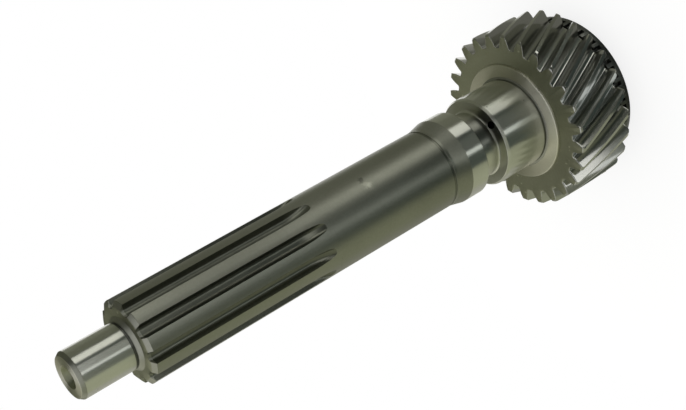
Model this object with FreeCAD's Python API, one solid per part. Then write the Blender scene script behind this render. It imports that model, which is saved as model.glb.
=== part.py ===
import FreeCAD, Part
import math
import os

# Transmission input shaft, one solid piece of steel.
# It stands on its rear end: the shaft axis is Z, the rear face lies at Z = 0,
# and the pilot journal points up. All sizes are in millimetres and degrees.

# Pilot journal and its end
pilot_diameter = 19.6
pilot_length = 25.3
pilot_chamfer_length = 1.6
pilot_chamfer_depth = 1.1
centre_mouth_diameter = 9.6
centre_cone_angle = 60.0
centre_drill_diameter = 3.2
centre_drill_length = 5.0
pilot_collar = 1.5
pilot_relief_width = 1.1
pilot_relief_depth = 0.35

# Clutch spline
spline_diameter = 34.925
spline_teeth = 10
spline_tooth_width = 5.45
spline_depth = 3.2
spline_corner = 0.5
spline_length = 73.2
spline_hob_radius = 31.0
spline_chamfer_length = 1.3
spline_chamfer_depth = 2.2

# Plain shank between the spline and the seal seat
shank_length = 80.2
shank_groove_width = 1.4
shank_groove_depth = 0.25
shank_shoulder = 1.3

# Oil seal seat
seat_diameter = 37.85
seat_length = 9.6
seat_ramp_length = 6.4
seat_edge = 0.6

# Deep groove between the bearing seat and the oil seal seat
groove_length = 10.5
groove_floor_diameter = 29.2
groove_relief_length = 2.5
groove_relief_depth = 0.3
groove_fillet = 1.2

# Oil hole, slanting from the groove's wall into the drilling on the axis
oil_hole_diameter = 3.4
oil_hole_radius = 16.4
oil_hole_slant = 40.0
oil_hole_angle = -63.9

# Bearing seat
bearing_diameter = 40.0
bearing_length = 20.6
bearing_chamfer_length = 1.1
bearing_chamfer_depth = 0.75
bearing_relief_setback = 0.3
bearing_relief_width = 1.0
bearing_relief_depth = 0.7

# Thrust boss on the front of the gear
boss_diameter = 53.0
boss_height = 1.05
boss_edge = 0.35

# Helical gear, left hand
gear_teeth = 26
gear_module = 2.6
gear_helix_angle = 24.5
gear_pressure_angle = 20.0
gear_width = 29.9
gear_addendum = 2.95
gear_dedendum = 3.1
gear_backlash = 0.12
gear_flank_strips = 2
gear_root_clearance = 0.9
gear_root_bevel = 0.75
gear_tip_chamfer = 0.8
gear_phase = 9.3

# Dog teeth for the synchronising sleeve
dog_teeth = 60
dog_diameter = 68.2
dog_depth = 2.4
dog_gap_share = 0.5
dog_length = 6.0
dog_rim_length = 2.4
dog_neck_length = 1.1
dog_neck_depth = 0.5

# Register land on the rear face
land_diameter = 52.0
land_length = 4.0
land_edge = 0.6

# Pocket for the main shaft's pilot bearing, and the oil drilling behind it
pocket_diameter = 34.0
pocket_depth = 27.0
pocket_chamfer = 1.2
drill_diameter = 7.0
drill_tip_angle = 118.0
drill_past_hole = 12.0

# Radii that follow from the diameters
pilot_radius = pilot_diameter / 2
spline_radius = spline_diameter / 2
seat_radius = seat_diameter / 2
bearing_radius = bearing_diameter / 2
boss_radius = boss_diameter / 2
dog_radius = dog_diameter / 2
land_radius = land_diameter / 2
pocket_radius = pocket_diameter / 2
drill_radius = drill_diameter / 2
groove_floor_radius = groove_floor_diameter / 2

# Heights of the shoulders, from the rear face upward
ring_rear = land_length
gear_rear = ring_rear + dog_length + dog_neck_length
gear_front = gear_rear + gear_width
boss_face = gear_front + boss_height
bearing_rear = boss_face + bearing_relief_setback + bearing_relief_width
bearing_front = bearing_rear + bearing_length + bearing_chamfer_length
groove_front = bearing_front + groove_length
seat_front = groove_front + seat_length
shank_rear = seat_front + seat_ramp_length
spline_end = shank_rear + shank_length
spline_face = spline_end + spline_length
pilot_end = spline_face + pilot_length

# Gear sizes in the plane of rotation
helix = math.radians(gear_helix_angle)
pitch_radius = gear_teeth * gear_module / math.cos(helix) / 2
tip_radius = pitch_radius + gear_addendum
root_radius = pitch_radius - gear_dedendum
transverse_pressure = math.atan(math.tan(math.radians(gear_pressure_angle)) / math.cos(helix))
base_radius = pitch_radius * math.cos(transverse_pressure)
form_radius = root_radius + gear_root_clearance
tooth_pitch = 2 * math.pi / gear_teeth
gear_twist = gear_width * math.tan(helix) / pitch_radius


def polar(radius, angle, height=0.0):
    return FreeCAD.Vector(radius * math.cos(angle), radius * math.sin(angle), height)


def turned(*corners):
    """Revolve a closed half section, given by its corners (radius, height), about Z."""
    points = [FreeCAD.Vector(radius, 0, height) for radius, height in corners]
    section = Part.Face(Part.makePolygon(points + points[:1]))
    return section.revolve(FreeCAD.Vector(0, 0, 0), FreeCAD.Vector(0, 0, 1), 360)


def turned_body():
    """Every turned face, from the drilling on the axis round the outside to the centre hole."""
    oil_hole_foot = oil_hole_radius / math.tan(math.radians(oil_hole_slant))
    drill_end = bearing_front - oil_hole_foot + drill_past_hole
    drill_cone = drill_radius / math.tan(math.radians(drill_tip_angle / 2))
    centre_cone = (centre_mouth_diameter - centre_drill_diameter) / 2
    centre_cone_depth = centre_cone / math.tan(math.radians(centre_cone_angle / 2))
    centre_end = pilot_end - centre_cone_depth - centre_drill_length
    centre_tip = centre_drill_diameter / 2 / math.tan(math.radians(drill_tip_angle / 2))
    neck_radius = dog_radius - dog_depth - dog_neck_depth
    relief_radius = bearing_radius - bearing_relief_depth
    relief_rear = boss_face + bearing_relief_setback
    shank_groove_rear = shank_rear + shank_shoulder
    shank_groove_radius = spline_radius - shank_groove_depth
    pilot_relief_rear = spline_face + pilot_collar
    groove_relief_radius = groove_floor_radius - groove_relief_depth
    fillet_radius = groove_relief_radius + groove_fillet
    fillet_middle = groove_fillet * (1 - math.sqrt(0.5))
    return turned(
        (0, drill_end),
        (drill_radius, drill_end - drill_cone),
        (drill_radius, pocket_depth),
        (pocket_radius, pocket_depth),
        (pocket_radius, pocket_chamfer),
        (pocket_radius + pocket_chamfer, 0),
        (land_radius - land_edge, 0),
        (land_radius, land_edge),
        (land_radius, ring_rear),
        (dog_radius, ring_rear),
        (dog_radius, gear_rear - dog_neck_length),
        (neck_radius, gear_rear - dog_neck_length),
        (neck_radius, gear_rear + gear_width / 2),
        (boss_radius, gear_rear + gear_width / 2),
        (boss_radius, boss_face - boss_edge),
        (boss_radius - boss_edge, boss_face),
        (bearing_radius, boss_face),
        (bearing_radius, relief_rear),
        (relief_radius, relief_rear),
        (relief_radius, bearing_rear),
        (bearing_radius, bearing_rear),
        (bearing_radius, bearing_front - bearing_chamfer_length),
        (bearing_radius - bearing_chamfer_depth, bearing_front),
        (fillet_radius, bearing_front),
        (groove_relief_radius + fillet_middle, bearing_front + fillet_middle),
        (groove_relief_radius, bearing_front + groove_fillet),
        (groove_relief_radius, bearing_front + groove_relief_length),
        (groove_floor_radius, bearing_front + groove_relief_length),
        (groove_floor_radius, groove_front),
        (seat_radius - seat_edge, groove_front),
        (seat_radius, groove_front + seat_edge),
        (seat_radius, seat_front),
        (spline_radius, shank_rear),
        (spline_radius, shank_groove_rear),
        (shank_groove_radius, shank_groove_rear),
        (shank_groove_radius, shank_groove_rear + shank_groove_width),
        (spline_radius, shank_groove_rear + shank_groove_width),
        (spline_radius, spline_face - spline_chamfer_length),
        (spline_radius - spline_chamfer_depth, spline_face),
        (pilot_radius + pilot_collar, spline_face),
        (pilot_radius, pilot_relief_rear),
        (pilot_radius - pilot_relief_depth, pilot_relief_rear),
        (pilot_radius - pilot_relief_depth, pilot_relief_rear + pilot_relief_width),
        (pilot_radius, pilot_relief_rear + pilot_relief_width),
        (pilot_radius, pilot_end - pilot_chamfer_length),
        (pilot_radius - pilot_chamfer_depth, pilot_end),
        (centre_mouth_diameter / 2, pilot_end),
        (centre_drill_diameter / 2, pilot_end - centre_cone_depth),
        (centre_drill_diameter / 2, centre_end),
        (0, centre_end - centre_tip),
    )


def involute(angle):
    return math.tan(angle) - angle


def half_tooth_angle(radius):
    """Half the tooth's thickness at a radius, as an angle at the gear's axis."""
    pitch_thickness = math.pi * pitch_radius / gear_teeth - gear_backlash
    at_pitch = pitch_thickness / (2 * pitch_radius)
    return at_pitch + involute(transverse_pressure) - involute(math.acos(base_radius / radius))


def flank_points(centre, side):
    """Points of one tooth flank: the foot of its bevel on the root circle, then points of the
    involute from the form circle out to the tip."""
    step = (tip_radius - form_radius) / gear_flank_strips
    radii = [form_radius + step * index for index in range(gear_flank_strips + 1)]
    curve = [polar(radius, centre + side * half_tooth_angle(radius)) for radius in radii]
    foot_angle = half_tooth_angle(form_radius) + gear_root_bevel / root_radius
    return [polar(root_radius, centre + side * foot_angle)] + curve


def gear_outline():
    """The gear's whole tooth outline at Z = 0, as one closed wire."""
    points = []
    for index in range(gear_teeth):
        centre = math.radians(gear_phase) + index * tooth_pitch
        points += flank_points(centre, -1)
        points += reversed(flank_points(centre, 1))
    return Part.makePolygon(points + points[:1])


def twisted(shape, share):
    """A copy of a shape from the gear's front face, moved along the helix towards the rear face."""
    copy = shape.copy()
    copy.rotate(FreeCAD.Vector(0, 0, 0), FreeCAD.Vector(0, 0, 1), math.degrees(gear_twist) * share)
    copy.translate(FreeCAD.Vector(0, 0, gear_front - gear_width * share))
    return copy


def helical_gear():
    """The tooth outline carried along a left-hand helix and made into a ring around the body,
    with both ends chamfered at the tips."""
    outline = gear_outline()
    faces = [Part.Face(twisted(outline, 0)), Part.Face(twisted(outline, 1))]
    for edge in outline.Edges:
        sections = [Part.Wire(twisted(edge, share)) for share in (0, 0.5, 1)]
        faces += Part.makeLoft(sections, False, False).Faces
    skin = Part.makeCompound(faces)
    skin.sewShape()
    toothed = Part.Solid(skin.Shells[0])
    bore = (pocket_radius + boss_radius) / 2
    inner = tip_radius - 2 * gear_tip_chamfer
    outer = tip_radius + gear_tip_chamfer
    blank = turned(
        (bore, gear_rear - gear_tip_chamfer),
        (inner, gear_rear - gear_tip_chamfer),
        (outer, gear_rear + 2 * gear_tip_chamfer),
        (outer, gear_front - 2 * gear_tip_chamfer),
        (inner, gear_front + gear_tip_chamfer),
        (bore, gear_front + gear_tip_chamfer),
    )
    return toothed.common(blank)


def around(shape, count, start=0.0):
    """Copies of a shape at even steps about the shaft axis."""
    copies = []
    for index in range(count):
        copy = shape.copy()
        copy.rotate(FreeCAD.Vector(0, 0, 0), FreeCAD.Vector(0, 0, 1), start + index * 360 / count)
        copies.append(copy)
    return copies


def dog_gaps():
    """The gaps between the dog teeth, open towards the gear and closed at the rear by a rim."""
    gap_width = 2 * math.pi * dog_radius / dog_teeth * dog_gap_share
    gap_rear = ring_rear + dog_rim_length
    gap_length = gear_rear - dog_neck_length / 2 - gap_rear
    corner = FreeCAD.Vector(dog_radius - dog_depth, -gap_width / 2, gap_rear)
    gap = Part.makeBox(2 * dog_depth, gap_width, gap_length, corner)
    return around(gap, dog_teeth)


def spline_gaps():
    """The grooves of the spline: straight sides parallel to each tooth, and a curved
    run-out where the round cutter leaves the shaft."""
    floor_radius = spline_radius - spline_depth
    half_pitch = math.pi / spline_teeth
    half_tooth = spline_tooth_width / 2
    outer = spline_radius + spline_depth

    def side_point(radius):
        along = math.sqrt(radius ** 2 - half_tooth ** 2)
        x = along * math.cos(half_pitch) + half_tooth * math.sin(half_pitch)
        y = along * math.sin(half_pitch) - half_tooth * math.cos(half_pitch)
        return x, y

    side_x, side_y = side_point(outer)
    floor_half = side_y - (side_x - floor_radius) * math.tan(half_pitch)
    bevel_x = floor_radius + spline_corner * math.cos(half_pitch)
    bevel_y = floor_half + spline_corner * math.sin(half_pitch)
    half = [(floor_radius, floor_half - spline_corner), (bevel_x, bevel_y), (side_x, side_y)]
    mirrored = [(x, -y) for x, y in reversed(half)]
    corners = [FreeCAD.Vector(x, y, spline_end) for x, y in half + mirrored]
    section = Part.Face(Part.makePolygon(corners + corners[:1]))
    straight = section.extrude(FreeCAD.Vector(0, 0, spline_length + spline_depth))
    hob_axis = FreeCAD.Vector(floor_radius + spline_hob_radius, 0, spline_end)
    run_out = section.revolve(hob_axis, FreeCAD.Vector(0, 1, 0), -60)
    gap = straight.fuse(run_out)
    return around(gap, spline_teeth)


def oil_hole():
    """Slanting hole from the wall of the groove down into the drilling on the axis."""
    slant = math.radians(oil_hole_slant)
    foot = FreeCAD.Vector(0, 0, bearing_front - oil_hole_radius / math.tan(slant))
    outward = polar(math.sin(slant), math.radians(oil_hole_angle), math.cos(slant))
    length = bearing_radius / math.sin(slant)
    return Part.makeCylinder(oil_hole_diameter / 2, length, foot, outward)


os.makedirs("parts", exist_ok=True)
shaft = turned_body()
shaft = shaft.cut(dog_gaps())
shaft = shaft.cut(spline_gaps())
shaft = shaft.cut(oil_hole())
shaft = shaft.fuse(helical_gear())
shaft.exportStep("parts/input_shaft.step")
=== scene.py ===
import math

import bmesh
import bpy
from mathutils import Matrix, Vector


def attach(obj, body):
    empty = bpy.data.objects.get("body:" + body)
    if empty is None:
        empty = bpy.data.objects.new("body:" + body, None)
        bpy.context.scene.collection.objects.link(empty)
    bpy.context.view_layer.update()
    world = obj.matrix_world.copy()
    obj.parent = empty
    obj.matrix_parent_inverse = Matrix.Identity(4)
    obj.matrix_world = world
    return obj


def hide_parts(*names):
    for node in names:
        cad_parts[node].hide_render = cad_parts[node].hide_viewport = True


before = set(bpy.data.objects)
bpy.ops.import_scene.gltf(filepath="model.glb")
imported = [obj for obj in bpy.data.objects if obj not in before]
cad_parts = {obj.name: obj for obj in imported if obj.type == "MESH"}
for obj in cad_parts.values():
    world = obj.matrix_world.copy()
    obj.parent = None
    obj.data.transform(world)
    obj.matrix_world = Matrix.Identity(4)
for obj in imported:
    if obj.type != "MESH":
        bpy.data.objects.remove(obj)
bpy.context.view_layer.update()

MM = 0.001

# Sizes of the shaft in millimetres and degrees, as in the solid
SPLINE_R, SPLINE_FLOOR_R, SPLINE_TEETH, SPLINE_TOOTH = 17.4625, 14.2625, 10, 5.45
SPLINE_END, SPLINE_FACE, HOB_R = 171.75, 244.95, 31.0
GEAR_TEETH, GEAR_MODULE, GEAR_HELIX, GEAR_PRESSURE = 26, 2.6, 24.5, 20.0
GEAR_REAR, GEAR_FRONT, GEAR_PHASE = 11.1, 41.0, 9.3
GEAR_ADDENDUM, GEAR_DEDENDUM, GEAR_BACKLASH = 2.95, 3.1, 0.12
DOG_TEETH, DOG_R, DOG_DEPTH, DOG_REAR, DOG_RIM, DOG_FRONT = 60, 34.1, 2.4, 4.0, 6.4, 10.0
OIL_HOLE_R, OIL_HOLE_FOOT, OIL_HOLE_SLANT, OIL_HOLE_ANGLE = 1.7, 45.505, 40.0, -63.9

# Hidden joints between the visible pieces, in millimetres: the height where the spline's skin
# starts, its inner radius, and the inner radius of the gear's and the dog ring's skins
JOIN, SPLINE_BORE_R, GEAR_BORE_R = 156.0, 9.3, 25.0

# Meshes: edges sharper than this angle stay sharp, points closer than this many metres are
# welded, and turned faces and the oil hole have this many sides
SHARP_ANGLE, WELD, TURNED_SIDES, HOLE_SIDES = math.radians(31), 1e-6, 288, 40

# The share of a line that a fillet at its end may use up
CORNER_LIMITS, GROOVE_LIMITS = (0.42, 0.42), (0.75, 0.45)


# Mesh helpers

def polar(radius, angle, height):
    return (radius * math.cos(angle), radius * math.sin(angle), height)


def circle(radius, angles, height):
    return [polar(radius, angle, height) for angle in angles]


def angles_of(ring):
    return [math.atan2(y, x) for x, y, _ in ring]


def full_turn(sides):
    return [math.tau * i / sides for i in range(sides)]


def placed(name, mesh):
    obj = bpy.data.objects.new(name, mesh)
    bpy.context.scene.collection.objects.link(obj)
    return obj


def shade(mesh):
    mesh.shade_smooth()
    mesh.set_sharp_from_angle(angle=SHARP_ANGLE)


def weld(mesh):
    work = bmesh.new()
    work.from_mesh(mesh)
    bmesh.ops.remove_doubles(work, verts=work.verts, dist=WELD)
    work.to_mesh(mesh)
    work.free()


def build(name, rings, finishes, closed=True):
    """A mesh from rings of points in millimetres. Each pair of neighbours is joined by quads
    of the first one's finish, the last ring joins the first one when closed, and a ring of one
    point is a pole."""
    verts, starts = [], []
    for ring in rings:
        starts.append(len(verts))
        verts += [(x * MM, y * MM, z * MM) for x, y, z in ring]
    faces, mats = [], []
    for k in range(len(rings) if closed else len(rings) - 1):
        ahead = (k + 1) % len(rings)
        count = max(len(rings[k]), len(rings[ahead]))
        near, far = starts[k], starts[ahead]
        for i in range(count):
            j = (i + 1) % count
            if len(rings[k]) == 1:
                faces.append((near, far + j, far + i))
            elif len(rings[ahead]) == 1:
                faces.append((near + i, near + j, far))
            else:
                faces.append((near + i, near + j, far + j, far + i))
            mats.append(finishes[k])
    mesh = bpy.data.meshes.new(name)
    mesh.from_pydata(verts, [], faces)
    for slot in SLOTS:
        mesh.materials.append(slot)
    mesh.polygons.foreach_set("material_index", mats)
    mesh.validate()
    weld(mesh)
    shade(mesh)
    mesh.update()
    return placed(name, mesh)


def arc_points(before, corner, after, fillet, steps, limits):
    """The corner between the lines to the points before and after it, rounded to the fillet's
    radius, as points. The radius shrinks where the arc would use up more of a line than its
    limit."""
    u, v = before - corner, after - corner
    longest = limits[0] * u.length, limits[1] * v.length
    u.normalize()
    v.normalize()
    half = u.angle(v) / 2
    reach = min(fillet / math.tan(half), *longest)
    centre = corner + (u + v).normalized() * (reach * math.tan(half) / math.sin(half))
    first, last = corner + u * reach - centre, corner + v * reach - centre
    sweep = first.angle_signed(last)
    out = []
    for k in range(steps + 1):
        turned = first.copy()
        turned.rotate(Matrix.Rotation(-sweep * k / steps, 2))
        out.append(centre + turned)
    return out


def softened(corners, guard=0.12, guard_share=0.06, steps=4):
    """Corners (radius, height, fillet, finish) become points (radius, height, finish): each
    corner with a fillet turns into an arc, with a guard point before and after it that keeps
    the long faces flat. The finish is that of the face that leads away from the corner."""
    out = []
    for i, (r, z, fillet, finish) in enumerate(corners):
        if not fillet:
            out.append((r, z, finish))
            continue
        corner = Vector((r, z))
        before = Vector(corners[i - 1][:2])
        after = Vector(corners[i + 1][:2])
        u, v = before - corner, after - corner
        margin = min(guard, guard_share * u.length, guard_share * v.length)
        arc = arc_points(before, corner, after, fillet, steps, CORNER_LIMITS)
        last = corners[i - 1][3]
        out.append((*(arc[0] + u.normalized() * margin), last))
        for k, point in enumerate(arc):
            out.append((*point, last if k < steps / 2 else finish))
        out.append((*(arc[-1] + v.normalized() * margin), finish))
    return out


# Materials

class Finish:
    """A steel finish built from nodes."""

    def __init__(self, name):
        self.mat = bpy.data.materials.new(name)
        self.mat.use_nodes = True
        self.tree = self.mat.node_tree
        self.shader = self.tree.nodes["Principled BSDF"]
        self.shader.inputs["Metallic"].default_value = 1.0
        self.place = self.add("ShaderNodeTexCoord").outputs["Object"]

    def add(self, kind, **settings):
        node = self.tree.nodes.new(kind)
        for key, value in settings.items():
            setattr(node, key, value)
        return node

    def link(self, source, target):
        self.tree.links.new(source, target)

    def noise(self, vector, scale, detail, rough):
        node = self.add("ShaderNodeTexNoise")
        node.inputs["Scale"].default_value = scale
        node.inputs["Detail"].default_value = detail
        node.inputs["Roughness"].default_value = rough
        self.link(vector, node.inputs["Vector"])
        return node.outputs["Fac"]

    def ramp(self, value, stops):
        node = self.add("ShaderNodeValToRGB")
        for element, (at, colour) in zip(node.color_ramp.elements, stops):
            element.position = at
            element.color = (*colour, 1.0)
        self.link(value, node.inputs["Fac"])
        return node.outputs["Color"]

    def span(self, value, low, high, start=0.0, end=1.0, **settings):
        """The value from start to end, mapped to low to high."""
        node = self.add("ShaderNodeMapRange", **settings)
        node.inputs["From Min"].default_value = start
        node.inputs["From Max"].default_value = end
        node.inputs["To Min"].default_value = low
        node.inputs["To Max"].default_value = high
        self.link(value, node.inputs["Value"])
        return node.outputs["Result"]

    def math(self, kind, *items):
        node = self.add("ShaderNodeMath", operation=kind)
        for index, item in enumerate(items):
            if isinstance(item, (int, float)):
                node.inputs[index].default_value = item
            else:
                self.link(item, node.inputs[index])
        return node.outputs["Value"]

    def blend(self, a, weight_a, b, weight_b):
        return self.math("ADD", self.math("MULTIPLY", a, weight_a),
                         self.math("MULTIPLY", b, weight_b))

    def parts_of_place(self):
        split = self.add("ShaderNodeSeparateXYZ")
        self.link(self.place, split.inputs["Vector"])
        return split.outputs

    def turning_marks(self):
        """Noise that changes only with the radius and the height, as turning marks do."""
        x, y, z = self.parts_of_place()
        radius = self.math("SQRT", self.math("ADD", self.math("MULTIPLY", x, x),
                                             self.math("MULTIPLY", y, y)))
        join = self.add("ShaderNodeCombineXYZ")
        self.link(radius, join.inputs["X"])
        self.link(z, join.inputs["Z"])
        node = self.add("ShaderNodeMapping")
        node.inputs["Scale"].default_value = (MARKS_SCALE, 1.0, MARKS_SCALE)
        self.link(join.outputs["Vector"], node.inputs["Vector"])
        return self.noise(node.outputs["Vector"], 1.0, 2.0, 0.7)

    def bump(self, height):
        node = self.add("ShaderNodeBump")
        node.inputs["Strength"].default_value = BUMP_STRENGTH
        node.inputs["Distance"].default_value = BUMP_DEPTH
        self.link(height, node.inputs["Height"])
        self.link(node.outputs["Normal"], self.shader.inputs["Normal"])

    def dimmed(self, colour, level):
        scale = self.add("ShaderNodeVectorMath", operation="SCALE")
        self.link(colour, scale.inputs[0])
        self.link(level, scale.inputs["Scale"])
        return scale.outputs["Vector"]

    def painted_falloff(self, colour, low, high):
        """The colour with a painted light-to-shade gradient: dimmed to low on one side, as
        painted shade, and raised to high on the opposite side, as painted light."""
        x, y, _ = self.parts_of_place()
        across = self.math("MULTIPLY", self.blend(x, FALLOFF_WAY[0], y, FALLOFF_WAY[1]), FALLOFF_PER_M)
        return self.dimmed(colour, self.span(self.math("ADD", across, 0.5), low, high))

    def specked(self, colour, tone):
        """The colour with sparse small specks: stains below a tone of 1, bright dings above."""
        spread = self.noise(self.place, SPECKS_SCALE, 1.0, 0.5)
        return self.dimmed(colour, self.span(spread, 1.0, tone, *SPECKS_RANGE))

    def spotted(self, colour, centre, near, far, wander, scale, tone):
        """The colour with one spot: it has the full tone up to the distance near from the
        centre and fades out at far, and noise of the given scale moves its edge by up to
        wander, all in millimetres."""
        apart = self.add("ShaderNodeVectorMath", operation="DISTANCE")
        self.link(self.place, apart.inputs[0])
        apart.inputs[1].default_value = [value * MM for value in centre]
        edge = self.math("MULTIPLY", self.noise(self.place, scale, 3.0, 0.6), wander * MM)
        reach = self.math("ADD", apart.outputs["Value"], edge)
        level = self.span(reach, tone, 1.0, near * MM, far * MM, interpolation_type="SMOOTHSTEP")
        return self.dimmed(colour, level)

    def filmed(self, index, rough):
        """A thin clear film with sharper reflections than the metal's own."""
        self.shader.inputs["Coat Weight"].default_value = 1.0
        self.shader.inputs["Coat IOR"].default_value = index
        self.shader.inputs["Coat Roughness"].default_value = rough

    def combed(self, amount):
        """Highlights drawn out across fine rings turned about the shaft's axis."""
        self.shader.inputs["Anisotropic"].default_value = amount
        self.shader.inputs["Anisotropic Rotation"].default_value = 0.25
        node = self.add("ShaderNodeTangent", direction_type="RADIAL", axis="Z")
        self.link(node.outputs["Tangent"], self.shader.inputs["Tangent"])


# Noise scales are per metre.
MARKS_SCALE, GRAIN_SCALE, SPECKS_SCALE, SPECKS_RANGE = 6000.0, 900.0, 330.0, (0.735, 0.775)
# Painted shade: faced steel darkens along this direction and lightens against it, over about one
# metre divided by the rate beside it, for light falling off across the faces.
FALLOFF_WAY, FALLOFF_PER_M = (0.64, 0.77), 13.0
BUMP_STRENGTH, BUMP_DEPTH = 0.35, 0.00006


def nick(angle, height, radius, tone):
    """A spot on the shank, for Finish.spotted."""
    centre = polar(SPLINE_R, math.radians(angle), height)
    return centre, 1.4 * radius, 2.1 * radius, 2.2 * radius, 500.0, tone


def steel(name, light, dark, rough, rings=0.0, grain=0.0, patches=14.0, combed=0.0, falloff_tones=None,
          specks=None, spots=(), film=None):
    """light and dark are the two ends of the metal's tone, rough the two ends of its
    roughness, rings the depth of the turning marks, grain that of the fine texture, patches
    the scale of the tone's noise and combed the highlights' anisotropy. The pair for the
    painted light-to-shade gradient holds the tones of its shaded side and its lit side, specks
    is the specks' tone, spots has the arguments of each spot, and film has the index and the
    roughness of a clear film."""
    f = Finish(name)
    broad = f.noise(f.place, patches, 4.0, 0.6)
    fine = f.noise(f.place, GRAIN_SCALE, 3.0, 0.6)
    marks = f.turning_marks()
    mixed = f.blend(broad, 0.7, fine, 0.3)
    colour = f.ramp(mixed, [(0.30, dark), (0.70, light)])
    # A painted light-to-shade gradient across the faces, where one is given
    if falloff_tones:
        colour = f.painted_falloff(colour, *falloff_tones)
    if specks:
        colour = f.specked(colour, specks)
    for spot in spots:
        colour = f.spotted(colour, *spot)
    f.link(colour, f.shader.inputs["Base Color"])
    f.link(f.span(f.blend(mixed, 0.6, marks, 0.4), *rough), f.shader.inputs["Roughness"])
    f.bump(f.blend(marks, rings, fine, grain))
    if film:
        f.filmed(*film)
    if combed:
        f.combed(combed)
    return f.mat


# Painted shade: a dark patch around the oil hole, standing for the shade on the oil groove's
# near side
GROOVE_PAINTED_SHADE = (polar(16.4, math.radians(OIL_HOLE_ANGLE), 67.5), 8.5, 11.8, 3.0, 260.0, 0.42)
SHANK_NICK = [nick(-41.0, 132.8, 2.0, 0.62), nick(-51.0, 132.2, 2.6, 1.3),
              nick(-55.0, 131.6, 2.2, 1.2)]

SLOTS = [
    steel("steel_ground", (0.54, 0.55, 0.48), (0.47, 0.48, 0.415), (0.285, 0.32), rings=0.1,
          combed=0.98, specks=0.5, film=(2.2, 0.17)),
    steel("steel_satin", (0.325, 0.33, 0.285), (0.25, 0.255, 0.215), (0.35, 0.42), rings=0.4,
          grain=0.2, spots=SHANK_NICK),
    # Faced steel, with a painted shade gradient: darker on one side, lighter on the other
    steel("steel_faced", (0.37, 0.38, 0.28), (0.28, 0.285, 0.20), (0.40, 0.50), rings=0.6,
          grain=0.4, falloff_tones=(0.62, 1.25), specks=1.6),
    steel("steel_bright_turned", (0.70, 0.69, 0.60), (0.58, 0.57, 0.48), (0.34, 0.40),
          rings=0.3, combed=0.9),
    steel("steel_dark", (0.21, 0.215, 0.20), (0.06, 0.062, 0.06), (0.34, 0.5), grain=0.6,
          patches=60.0),
    steel("steel_cut", (0.24, 0.245, 0.21), (0.19, 0.195, 0.165), (0.285, 0.31), patches=40.0,
          film=(3.2, 0.10)),
    steel("steel_milled", (0.21, 0.215, 0.18), (0.14, 0.145, 0.12), (0.29, 0.34), grain=0.2,
          patches=30.0),
    # The groove's steel, darkened around the oil hole by painted shade
    steel("steel_neck", (0.60, 0.605, 0.54), (0.50, 0.505, 0.445), (0.285, 0.31),
          patches=40.0, spots=[GROOVE_PAINTED_SHADE]),
]

# Ground, satin, faced, bright turned, dark, cut, milled and neck, in the slots' order
G, S, F, B, D, C, M, N = range(len(SLOTS))


# Turned body: (radius, height, fillet, finish of the face that follows)

TURNED = [
    # Drilling, rear pocket and rear face
    (0, 57.5, 0, D), (3.5, 55.4, 0, D), (3.5, 27.0, 0.3, F), (17.0, 27.0, 0.4, G),
    (17.0, 1.2, 0.2, F), (18.2, 0, 0.15, F), (25.4, 0, 0.2, F), (26.0, 0.6, 0.2, F),
    # Core inside the dog ring and the gear
    (26.0, 4.6, 0.3, F), (30.0, 4.6, 0, D), (30.0, 12.0, 0, D), (30.0, 39.0, 0, D),
    # Boss, relief and bearing seat
    (26.5, 39.0, 0, B), (26.5, 42.05, 0.45, B), (21.0, 42.05, 0.3, S), (20.0, 42.35, 0.05, S),
    (19.3, 42.35, 0.3, S), (19.3, 43.35, 0.3, S), (20.0, 43.35, 0.12, G),
    (20.0, 63.95, 0.25, G), (19.25, 65.05, 0.3, N),
    # Oil groove and seal seat
    (14.3, 65.05, 1.2, N), (14.3, 67.55, 0.08, N), (14.6, 67.55, 0.1, N),
    (14.6, 75.55, 0.6, S), (18.325, 75.55, 0.2, S), (18.925, 76.15, 0.3, G),
    (18.925, 85.15, 1.2, S),
    # Shank with its fine groove, up to the spline
    (SPLINE_R, 91.55, 0.8, S), (SPLINE_R, 92.85, 0.08, M), (17.2125, 92.95, 0.08, M),
    (17.2125, 94.15, 0.08, M), (SPLINE_R, 94.25, 0.08, S), (SPLINE_R, JOIN, 0, D),
    # Core inside the spline
    (10.0, JOIN, 0, D), (10.0, 230.0, 0, D), (9.45, 230.0, 0, D),
    # Pilot journal with its centre hole
    (9.45, 247.55, 0.15, D), (9.8, 247.55, 0.12, G), (9.8, 268.65, 0.5, S),
    (8.7, 270.25, 0.35, B), (4.8, 270.25, 0.12, F), (1.6, 264.71, 0.1, D),
    (1.6, 259.71, 0, D), (0, 258.75, 0, D),
]


def drill_oil_hole(body, start=3.0, end=31.0):
    """Cuts the slanting hole, from the groove's wall down to the drilling on the axis. The
    drill reaches from start to end, in millimetres along the hole from where it meets the
    axis."""
    angle, slant = math.radians(OIL_HOLE_ANGLE), math.radians(OIL_HOLE_SLANT)
    foot = Vector((0.0, 0.0, OIL_HOLE_FOOT))
    outward = Vector(polar(math.sin(slant), angle, math.cos(slant)))
    side = Vector((-math.sin(angle), math.cos(angle), 0.0))
    across = outward.cross(side)
    rings = []
    for along in (start, end):
        middle = foot + outward * along
        rings.append([middle + (side * math.cos(turn) + across * math.sin(turn)) * OIL_HOLE_R
                      for turn in full_turn(HOLE_SIDES)])
    poles = [[foot + outward * start], [foot + outward * end]]
    drill = build("oil_drill", [poles[0], *rings, poles[1]], [D] * 4, closed=False)
    cut = body.modifiers.new("oil_hole", "BOOLEAN")
    cut.operation = "DIFFERENCE"
    cut.solver = "EXACT"
    cut.object = drill
    graph = bpy.context.evaluated_depsgraph_get()
    body_mesh = bpy.data.meshes.new_from_object(body.evaluated_get(graph))
    body.modifiers.clear()
    body.data = body_mesh
    shade(body_mesh)
    bpy.data.objects.remove(drill)


def turned_body():
    rings, finishes = [], []
    for r, z, finish in softened(TURNED):
        rings.append(circle(r, full_turn(TURNED_SIDES), z) if r else [(0, 0, z)])
        finishes.append(finish)
    body = build("shaft_body", rings, finishes, closed=False)
    drill_oil_hole(body)
    return body


# Spline

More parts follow.
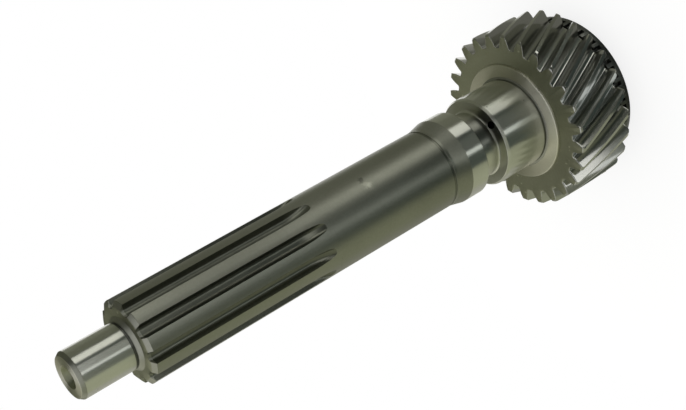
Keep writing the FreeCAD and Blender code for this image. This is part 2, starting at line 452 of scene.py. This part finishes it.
SPLINE_HALF_PITCH = math.pi / SPLINE_TEETH
GROOVE_FILLET = 1.8
GROOVE_SHARES = [i / 20 for i in range(19)] + [0.925, 0.955, 0.98, 1.0]
LAND_SHARES = (0.0, 0.03, 0.12, 0.35, 0.65, 1.0)
RUN_OUT = math.sqrt(HOB_R ** 2 - (HOB_R - SPLINE_R + SPLINE_FLOOR_R) ** 2)
RUN_OUT_STEPS, RUN_OUT_POWER = 28, 1.4
LAND_EDGE = 0.35

# The spline's front face and the collar on it, each a ring that is this far past the face:
# (radius less than the spline's, offset, finish) and (radius, offset, finish)
SPLINE_CHAMFER = [(0.0, -1.36, M), (0.06, -1.27, S), (0.2, -1.18, S), (2.1, -0.06, S),
                  (2.2, 0.0, F)]
COLLAR = [(11.42, 0.0, F), (11.3, 0.02, S), (11.2, 0.12, S), (9.9, 1.42, S), (9.75, 1.5, S),
          (SPLINE_BORE_R, 1.5, D)]


def groove_template():
    """Half of a groove's cross section, from the middle of its floor outward to past the
    lands. The groove's middle lies on X."""
    half_tooth_width = SPLINE_TOOTH / 2
    outer = SPLINE_R + 3.0
    along = math.sqrt(outer ** 2 - half_tooth_width ** 2)
    cos_t, sin_t = math.cos(SPLINE_HALF_PITCH), math.sin(SPLINE_HALF_PITCH)
    side = Vector((along * cos_t + half_tooth_width * sin_t,
                   along * sin_t - half_tooth_width * cos_t))
    floor_half = side.y - (side.x - SPLINE_FLOOR_R) * math.tan(SPLINE_HALF_PITCH)
    corner = Vector((SPLINE_FLOOR_R, floor_half))
    middle = Vector((SPLINE_FLOOR_R, 0.0))
    arc = arc_points(middle, corner, side, GROOVE_FILLET, 6, GROOVE_LIMITS)
    flat = [middle.lerp(arc[0], t) for t in (0.0, 0.35, 0.7, 0.93)]
    wall = [arc[-1].lerp(side, t) for t in (0.02, 0.1, 0.25, 0.4, 0.6, 0.8, 1.0)]
    return flat + arc + wall


GROOVE = groove_template()


def cut_off(line, outer):
    """The line up to where it meets the radius outer."""
    kept = [line[0]]
    for p, q in zip(line, line[1:]):
        if q.length >= outer:
            kept.append(p.lerp(q, (outer - p.length) / (q.length - p.length)))
            break
        kept.append(q)
    return kept


def resampled(line, shares):
    """Points on the line at these shares of its length."""
    lengths = [0.0]
    for p, q in zip(line, line[1:]):
        lengths.append(lengths[-1] + (q - p).length)
    out = []
    for share in shares:
        at = share * lengths[-1]
        k = max(i for i in range(len(line) - 1) if lengths[i] <= at)
        out.append(line[k].lerp(line[k + 1], (at - lengths[k]) / (lengths[k + 1] - lengths[k])))
    return out


def groove_half(outer, past):
    """Half of a groove, cut off at the radius outer, at a height that is this far past its
    full depth: there the hob's round path has lifted each point of the template."""
    hob_x = SPLINE_FLOOR_R + HOB_R
    lifted = [Vector((hob_x - math.sqrt((hob_x - p.x) ** 2 - past ** 2), p.y)) for p in GROOVE]
    return resampled(cut_off(lifted, outer), GROOVE_SHARES)


def spline_ring(outer, height, past=0.0):
    """One cross section of the spline. Each groove is flanked by half a land on each side.
    past is None where the grooves have run out."""
    if past is None:
        half = [Vector((outer, 0.0))] * len(GROOVE_SHARES)
    else:
        half = groove_half(outer, past)
    top = half[-1]
    edge = math.atan2(top.y, top.x)
    land = [edge + (SPLINE_HALF_PITCH - edge) * t for t in LAND_SHARES]
    side = half[:-1] + [top.lerp(half[-2], LAND_EDGE)]
    side += [Vector((outer * math.cos(t), outer * math.sin(t))) for t in land]
    both = [Vector((p.x, -p.y)) for p in side[-2:0:-1]] + side
    ring = []
    for index in range(SPLINE_TEETH):
        turn = index * 2 * SPLINE_HALF_PITCH
        cos_t, sin_t = math.cos(turn), math.sin(turn)
        ring += [(p.x * cos_t - p.y * sin_t, p.x * sin_t + p.y * cos_t, height) for p in both]
    return ring


def spline():
    rows = [(spline_ring(SPLINE_R, JOIN, None), S),
            (spline_ring(SPLINE_R, SPLINE_END - RUN_OUT - 0.05, None), S)]
    for k in range(1, RUN_OUT_STEPS + 1):
        past = RUN_OUT * (1 - (k / RUN_OUT_STEPS) ** RUN_OUT_POWER)
        rows.append((spline_ring(SPLINE_R, SPLINE_END - past, past), M))
    length = SPLINE_FACE - 1.3 - SPLINE_END
    for share in (0.05, 0.25, 0.5, 0.75, 0.97):
        rows.append((spline_ring(SPLINE_R, SPLINE_END + share * length), M))
    for less, offset, finish in SPLINE_CHAMFER:
        rows.append((spline_ring(SPLINE_R - less, SPLINE_FACE + offset), finish))
    angles = angles_of(rows[-1][0])
    for radius, offset, finish in COLLAR:
        rows.append((circle(radius, angles, SPLINE_FACE + offset), finish))
    rows.append((circle(SPLINE_BORE_R, angles, JOIN), D))
    rings, finishes = zip(*rows)
    piece = build("clutch_spline", rings, finishes)
    for face in piece.data.polygons:
        if face.material_index == M and face.center.xy.length > (SPLINE_R - 0.02) * MM:
            face.material_index = S
    return piece


# Helical gear. The tips are trimmed by a few thousandths of a millimetre, so that they lie
# inside the solid's box also where the solid's own facets cut it short.

HELIX = math.radians(GEAR_HELIX)
PITCH_R = GEAR_TEETH * GEAR_MODULE / math.cos(HELIX) / 2
TIP_TRIM = 0.006
TIP_R = PITCH_R + GEAR_ADDENDUM - TIP_TRIM
ROOT_R = PITCH_R - GEAR_DEDENDUM
PRESSURE = math.atan(math.tan(math.radians(GEAR_PRESSURE)) / math.cos(HELIX))
BASE_R = PITCH_R * math.cos(PRESSURE)
ROOT_RISE, ROOT_REACH = 0.9, 1.15
FLANK_STEPS, ROOT_STEPS, WIDTH_STEPS = 12, 8, 26
GEAR_FACE_R = 33.0

# The rounded and chamfered end of a tooth: (depth below the face, cut below the tip, inset)
TOOTH_END = [(0.0, 0.8, 0.14), (0.05, 0.75, 0.05), (0.14, 0.66, 0.0), (0.4, 0.4, 0.0),
             (0.76, 0.04, 0.0), (0.88, 0.0, 0.0)]


def half_tooth(radius):
    """Half of the angle that a tooth takes up at a radius, from the involute."""
    at_pitch = (math.pi * PITCH_R / GEAR_TEETH - GEAR_BACKLASH) / (2 * PITCH_R)
    roll = math.acos(min(BASE_R / radius, 1.0))
    return at_pitch + math.tan(PRESSURE) - PRESSURE - math.tan(roll) + roll


def tooth_side(tip):
    """Half of a tooth cut off at the radius tip, as (radius, angle from the tooth's middle),
    from the middle of the gap beside it to the middle of its crest."""
    form = ROOT_R + ROOT_RISE
    foot, gap = half_tooth(form), math.pi / GEAR_TEETH
    reach = min(ROOT_REACH / ROOT_R, (gap - foot) * 0.8)
    side = [(ROOT_R, gap + (foot + reach - gap) * t) for t in (0.0, 0.5, 0.9)]
    for k in range(ROOT_STEPS):
        t = k / ROOT_STEPS
        side.append((ROOT_R + ROOT_RISE * t ** 2.2, foot + reach * (1 - t) ** 1.6))
    for k in range(FLANK_STEPS):
        radius = form + (tip - form) * math.sin(k / FLANK_STEPS * math.pi / 2)
        side.append((radius, half_tooth(radius)))
    crest = half_tooth(tip)
    side += [(tip - 0.09, half_tooth(tip - 0.09) - 0.0003), (tip - 0.02, crest * 0.985)]
    return side + [(tip, crest * t) for t in (0.94, 0.5, 0.0)]


def drawn_in(points, inset):
    """The outline with each point moved inward by the inset."""
    out = []
    for i, point in enumerate(points):
        along = (points[(i + 1) % len(points)] - points[i - 1]).normalized()
        out.append(point - Vector((along.y, -along.x)) * inset)
    return out


def gear_ring(height, cut=0.0, inset=0.0):
    """One cross section of the gear, cut below the tip and drawn in by the inset."""
    side = tooth_side(TIP_R - cut)
    lead = (GEAR_FRONT - height) * math.tan(HELIX) / PITCH_R
    points = []
    for index in range(GEAR_TEETH):
        middle = math.radians(GEAR_PHASE) + index * math.tau / GEAR_TEETH + lead
        points += [polar(r, middle - t, height) for r, t in side]
        points += [polar(r, middle + t, height) for r, t in side[-2:0:-1]]
    if inset:
        flat = drawn_in([Vector(point[:2]) for point in points], inset)
        points = [(p.x, p.y, height) for p in flat]
    return points


def gear():
    rear = [(gear_ring(GEAR_REAR + depth, cut, inset), C) for depth, cut, inset in TOOTH_END]
    front = [(gear_ring(GEAR_FRONT - depth, cut, inset), C) for depth, cut, inset in TOOTH_END]
    depth = TOOTH_END[-1][0]
    width = GEAR_FRONT - GEAR_REAR - 2 * depth
    middle = [(gear_ring(GEAR_REAR + depth + width * k / WIDTH_STEPS), C)
              for k in range(1, WIDTH_STEPS)]
    front[0] = (front[0][0], F)
    rear_angles, front_angles = angles_of(rear[0][0]), angles_of(front[0][0])
    rows = [(circle(GEAR_BORE_R, rear_angles, GEAR_REAR), F),
            (circle(GEAR_FACE_R, rear_angles, GEAR_REAR), F),
            *rear, *middle, *reversed(front),
            (circle(GEAR_FACE_R, front_angles, GEAR_FRONT), F),
            (circle(GEAR_BORE_R, front_angles, GEAR_FRONT), D),
            (circle(GEAR_BORE_R, front_angles, GEAR_FRONT - 3), D),
            (circle(GEAR_BORE_R, rear_angles, GEAR_REAR + 3), D)]
    rings, finishes = zip(*rows)
    return build("helical_gear", rings, finishes)


# Dog ring

# Half of a gap and half of a tooth beside it: (share of the gap's depth, angle from the gap's
# middle)
DOG_HALF_PITCH = math.pi / DOG_TEETH
DOG_HALF_GAP = DOG_R * DOG_HALF_PITCH * 0.5
DOG_TOP = math.asin(DOG_HALF_GAP / DOG_R)
DOG_FOOT = math.asin(DOG_HALF_GAP / (DOG_R - DOG_DEPTH))
DOG_HALF = [(1.0, 0.0), (1.0, DOG_FOOT * 0.75), (0.97, DOG_FOOT * 0.96),
            (0.88, DOG_FOOT + (DOG_TOP - DOG_FOOT) * 0.12), (0.06, DOG_TOP),
            (0.012, DOG_TOP * 1.02), (0.0, DOG_TOP + 0.0035),
            (0.0, (DOG_TOP + DOG_HALF_PITCH) / 2)]

# Rings of the plain rim and of the toothed part: (height, cut below the edge, gap's depth)
DOG_ROWS = [
    (DOG_REAR, 0.3, 0.0), (DOG_REAR + 0.09, 0.09, 0.0), (DOG_REAR + 0.3, 0.0, 0.0),
    (DOG_RIM - 0.3, 0.0, 0.0), (DOG_RIM, 0.0, 0.0), (DOG_RIM + 0.05, 0.0, DOG_DEPTH - 0.12),
    (DOG_RIM + 0.2, 0.0, DOG_DEPTH), (DOG_FRONT - 0.3, 0.0, DOG_DEPTH),
    (DOG_FRONT - 0.09, 0.09, DOG_DEPTH), (DOG_FRONT, 0.3, DOG_DEPTH - 0.25),
]

# Rings of the ring's front face and of the neck behind the gear: (radius, height)
NECK_ROWS = [(31.3, DOG_FRONT + 0.02), (31.2, DOG_FRONT + 0.12), (31.2, GEAR_REAR + 1.0),
             (GEAR_BORE_R, GEAR_REAR + 1.0)]


def dog_ring(height, outer, depth):
    """One cross section of the dog ring: straight-sided gaps cut to a depth below its edge."""
    ring = []
    for index in range(DOG_TEETH):
        middle = index * 2 * DOG_HALF_PITCH
        ring += [polar(outer - share * depth, middle - turn, height)
                 for share, turn in DOG_HALF[:0:-1]]
        ring += [polar(outer - share * depth, middle + turn, height)
                 for share, turn in DOG_HALF]
    return ring


def dog_teeth():
    angles = angles_of(dog_ring(DOG_REAR, DOG_R, DOG_DEPTH))
    rings = [circle(GEAR_BORE_R, angles, DOG_REAR)]
    rings += [dog_ring(height, DOG_R - cut, depth) for height, cut, depth in DOG_ROWS]
    rings += [circle(radius, angles, height) for radius, height in NECK_ROWS]
    return build("dog_ring", rings, [D] * len(rings))


PIECES = [turned_body(), spline(), gear(), dog_teeth()]
for piece in PIECES:
    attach(piece, "root")
    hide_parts("input_shaft")


# Studio, in metres

def cleared(owner):
    """The owner's node tree, emptied."""
    owner.use_nodes = True
    owner.node_tree.nodes.clear()
    return owner.node_tree


def light_node(tree, kind, colour, strength=None):
    node = tree.nodes.new(kind)
    node.inputs["Color"].default_value = (*colour, 1.0)
    if strength is not None:
        node.inputs["Strength"].default_value = strength
    return node


def reflected(mesh, name, colour, strength):
    """A glowing panel that is seen only in the shaft's reflections."""
    mat = bpy.data.materials.new(name)
    tree = cleared(mat)
    glow = light_node(tree, "ShaderNodeEmission", colour, strength)
    out = tree.nodes.new("ShaderNodeOutputMaterial")
    tree.links.new(glow.outputs["Emission"], out.inputs["Surface"])
    mesh.materials.append(mat)
    obj = placed(name, mesh)
    obj.visible_camera = False
    obj.visible_diffuse = False
    obj.visible_shadow = False
    obj.visible_transmission = False
    obj.visible_volume_scatter = False


def card(name, start, end, low, high, radius, colour, strength):
    """A curved panel around the shaft, from one azimuth to the other."""
    steps = max(3, int(abs(end - start) / 4))
    verts, faces = [], []
    for k in range(steps + 1):
        a = math.radians(start + (end - start) * k / steps)
        verts += [polar(radius, a, low), polar(radius, a, high)]
    for k in range(steps):
        faces.append((2 * k, 2 * k + 1, 2 * k + 3, 2 * k + 2))
    mesh = bpy.data.meshes.new(name)
    mesh.from_pydata(verts, [], faces)
    mesh.shade_smooth()
    reflected(mesh, name, colour, strength)


def disc(name, radius, sides, height):
    mesh = bpy.data.meshes.new(name)
    mesh.from_pydata(circle(radius, full_turn(sides), height), [], [tuple(range(sides))])
    return mesh


# Heights that the panels share, and the radii of the floor and of the disc far below it
DEEP, LOW, MIDDLE, HIGH = -1.6, -0.62, 0.10, 0.85
FLOOR_R, BELOW_R = 0.16, 0.66

# The panels: (name, first azimuth, last azimuth, foot, top, radius, colour, strength)
CARDS = [
    ("mid_top", 30, 66, LOW, MIDDLE, 0.62, (0.23, 0.235, 0.18), 1.0),
    ("mid_edge", 66, 98, LOW, MIDDLE, 0.62, (1.0, 1.0, 0.97), 1.10),
    ("mid_side", -10, 30, LOW, MIDDLE, 0.62, (0.15, 0.155, 0.115), 1.0),
    ("level_side", -4, 46, -0.14, 0.02, 0.45, (0.26, 0.265, 0.22), 1.0),
    ("level_dark", -50, -4, -0.06, 0.07, 0.45, (0.035, 0.04, 0.037), 1.0),
    ("strip_key", -39, -11, -0.38, 0.25, 0.60, (1.0, 1.0, 0.92), 1.65),
    ("mid_dark", -84, -10, LOW, MIDDLE, 0.61, (0.055, 0.068, 0.062), 1.0),
    ("strip_low", -94, -84, LOW, MIDDLE, 0.60, (0.95, 1.0, 0.97), 1.15),
    ("mid_blue", -129, -94, LOW, 0.06, 0.62, (0.05, 0.068, 0.064), 1.0),
    ("mid_rear", -262, -190, LOW, MIDDLE, 0.63, (0.45, 0.45, 0.39), 1.0),
    ("mid_table", -190, -129, LOW, MIDDLE, 0.63, (0.46, 0.475, 0.34), 1.0),
    ("low_dark", -165, -52, DEEP, LOW, 0.64, (0.045, 0.047, 0.042), 1.0),
    ("low_mid", -52, 18, DEEP, LOW, 0.64, (0.11, 0.115, 0.10), 1.0),
    ("low_side", 18, 62, DEEP, LOW, 0.64, (0.34, 0.34, 0.29), 1.0),
    ("low_edge", 62, 100, DEEP, LOW, 0.64, (1.3, 1.3, 1.25), 1.0),
    ("low_back", 100, 144, DEEP, LOW, 0.64, (0.3, 0.3, 0.25), 1.0),
    ("low_left", 144, 195, -0.95, LOW, 0.64, (1.0, 1.0, 0.95), 1.4),
    ("low_foot", 144, 195, DEEP, -0.95, 0.64, (0.12, 0.12, 0.1), 1.0),
    ("high_patch", -96, -53, 0.085, 0.18, 0.59, (1.0, 1.0, 0.95), 1.9),
    ("high_dark", -97, -4, MIDDLE, HIGH, 0.64, (0.04, 0.045, 0.04), 1.0),
    ("high_top", -4, 118, MIDDLE, HIGH, 0.64, (0.16, 0.165, 0.12), 1.0),
    ("high_glow", 118, 165, 0.30, 1.15, 0.62, (1.0, 0.99, 0.84), 0.8),
    ("high_near_glow", 118, 132, MIDDLE, 0.30, 0.64, (0.16, 0.165, 0.12), 1.0),
    ("high_roof", -30, 98, HIGH, 1.6, 0.64, (0.08, 0.08, 0.07), 1.0),
    ("high_blue", -129, -97, 0.06, HIGH, 0.64, (0.27, 0.28, 0.22), 1.0),
    ("high_rear", -228, -190, MIDDLE, HIGH, 0.64, (0.43, 0.43, 0.375), 1.0),
    ("high_table", -190, -129, MIDDLE, HIGH, 0.64, (0.44, 0.455, 0.33), 1.0),
]
for row in CARDS:
    card(*row)
reflected(disc("below", BELOW_R, 48, DEEP), "below", (0.2, 0.2, 0.17), 1.0)

floor_mesh = disc("floor", FLOOR_R, 96, 0.0)
floor = placed("floor", floor_mesh)
floor.visible_glossy = False
floor_mat = bpy.data.materials.new("floor_pale")
floor_tree = cleared(floor_mat)
floor_lit = light_node(floor_tree, "ShaderNodeBsdfDiffuse", (0.24, 0.24, 0.24))
floor_glow = light_node(floor_tree, "ShaderNodeEmission", (1.0, 1.0, 1.0), 0.82)
floor_sum = floor_tree.nodes.new("ShaderNodeAddShader")
floor_out = floor_tree.nodes.new("ShaderNodeOutputMaterial")
floor_tree.links.new(floor_lit.outputs["BSDF"], floor_sum.inputs[0])
floor_tree.links.new(floor_glow.outputs["Emission"], floor_sum.inputs[1])
floor_tree.links.new(floor_sum.outputs["Shader"], floor_out.inputs["Surface"])
floor_mesh.materials.append(floor_mat)

# The world is white to camera, glossy and transmission rays, and a little softer to the rest
world = bpy.data.worlds.new("studio")
bpy.context.scene.world = world
tree = cleared(world)
soft = light_node(tree, "ShaderNodeBackground", (1.0, 1.0, 0.98), 0.8)
white = light_node(tree, "ShaderNodeBackground", (1.0, 1.0, 1.0), 1.0)
rays = tree.nodes.new("ShaderNodeLightPath")
seen = tree.nodes.new("ShaderNodeMath")
seen.operation = "MAXIMUM"
seen_too = tree.nodes.new("ShaderNodeMath")
seen_too.operation = "MAXIMUM"
mix = tree.nodes.new("ShaderNodeMixShader")
out = tree.nodes.new("ShaderNodeOutputWorld")
tree.links.new(rays.outputs["Is Camera Ray"], seen.inputs[0])
tree.links.new(rays.outputs["Is Glossy Ray"], seen.inputs[1])
tree.links.new(seen.outputs["Value"], seen_too.inputs[0])
tree.links.new(rays.outputs["Is Transmission Ray"], seen_too.inputs[1])
tree.links.new(seen_too.outputs["Value"], mix.inputs["Fac"])
tree.links.new(soft.outputs["Background"], mix.inputs[1])
tree.links.new(white.outputs["Background"], mix.inputs[2])
tree.links.new(mix.outputs["Shader"], out.inputs["Surface"])


# Camera, fitted to the photograph: its place in metres, and the directions of its picture

CAMERA_PLACE = Vector((0.12719, -0.47998, 0.42528))
CAMERA_RIGHT = Vector((-0.37234, -0.54487, -0.75132))
CAMERA_UP = Vector((0.90328, -0.02681, -0.42821))
camera_data = bpy.data.cameras.new("camera")
camera_data.sensor_width = 36.0
camera_data.lens = 74.891
camera_data.clip_start = 0.01
camera_data.clip_end = 20.0
camera = placed("camera", camera_data)
right = CAMERA_RIGHT.normalized()
back = right.cross(CAMERA_UP).normalized()
up = back.cross(right)
turn = Matrix((right, up, back)).transposed()
camera.matrix_world = Matrix.Translation(CAMERA_PLACE) @ turn.to_4x4()
bpy.context.scene.camera = camera
bpy.context.scene.view_settings.view_transform = "Standard"
